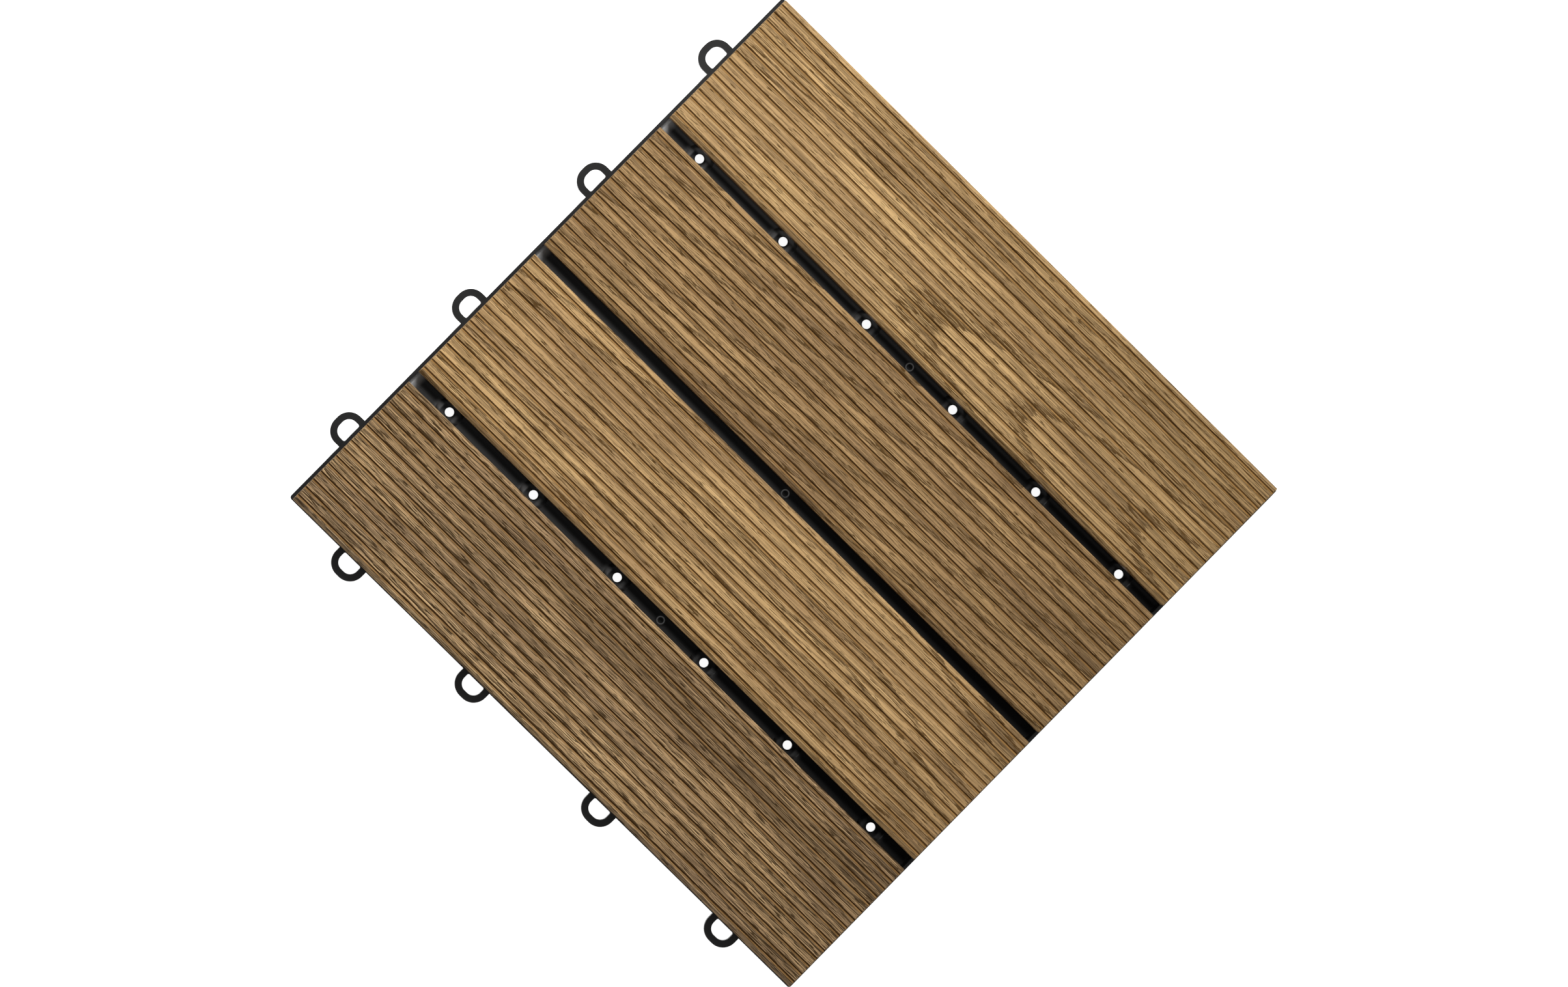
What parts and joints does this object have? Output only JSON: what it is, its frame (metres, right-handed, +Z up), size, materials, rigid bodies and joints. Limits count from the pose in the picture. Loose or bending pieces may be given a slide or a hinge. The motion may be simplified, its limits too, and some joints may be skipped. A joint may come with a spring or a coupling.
{
  "type": "interlocking deck tile",
  "caption": "Square outdoor deck tile: grooved hardwood slats with open drainage gaps, screwed to a low black plastic base with loops on two sides that join it to the next tiles.",
  "frame": {"origin": "middle of the tile on the ground, on the bottom face of the middle foot", "axes": "+X along the slats, +Y across them, +Z up; the loops stand out of the -X and -Y sides"},
  "size_m": [0.3095, 0.3095, 0.024],
  "materials": {
    "base_plastic": "black, satin moulded",
    "wood_1": "oiled grey-brown hardwood",
    "wood_2": "oiled light brown hardwood",
    "wood_3": "oiled mid brown hardwood",
    "wood_4": "oiled golden brown hardwood",
    "screw_steel": "plain"
  },
  "bodies": {
    "root": {"base": "base_plastic", "slat_1": "wood_1", "slat_2": "wood_2", "slat_3": "wood_3", "slat_4": "wood_4", "slat_screws": "screw_steel"}
  },
  "joints": []
}
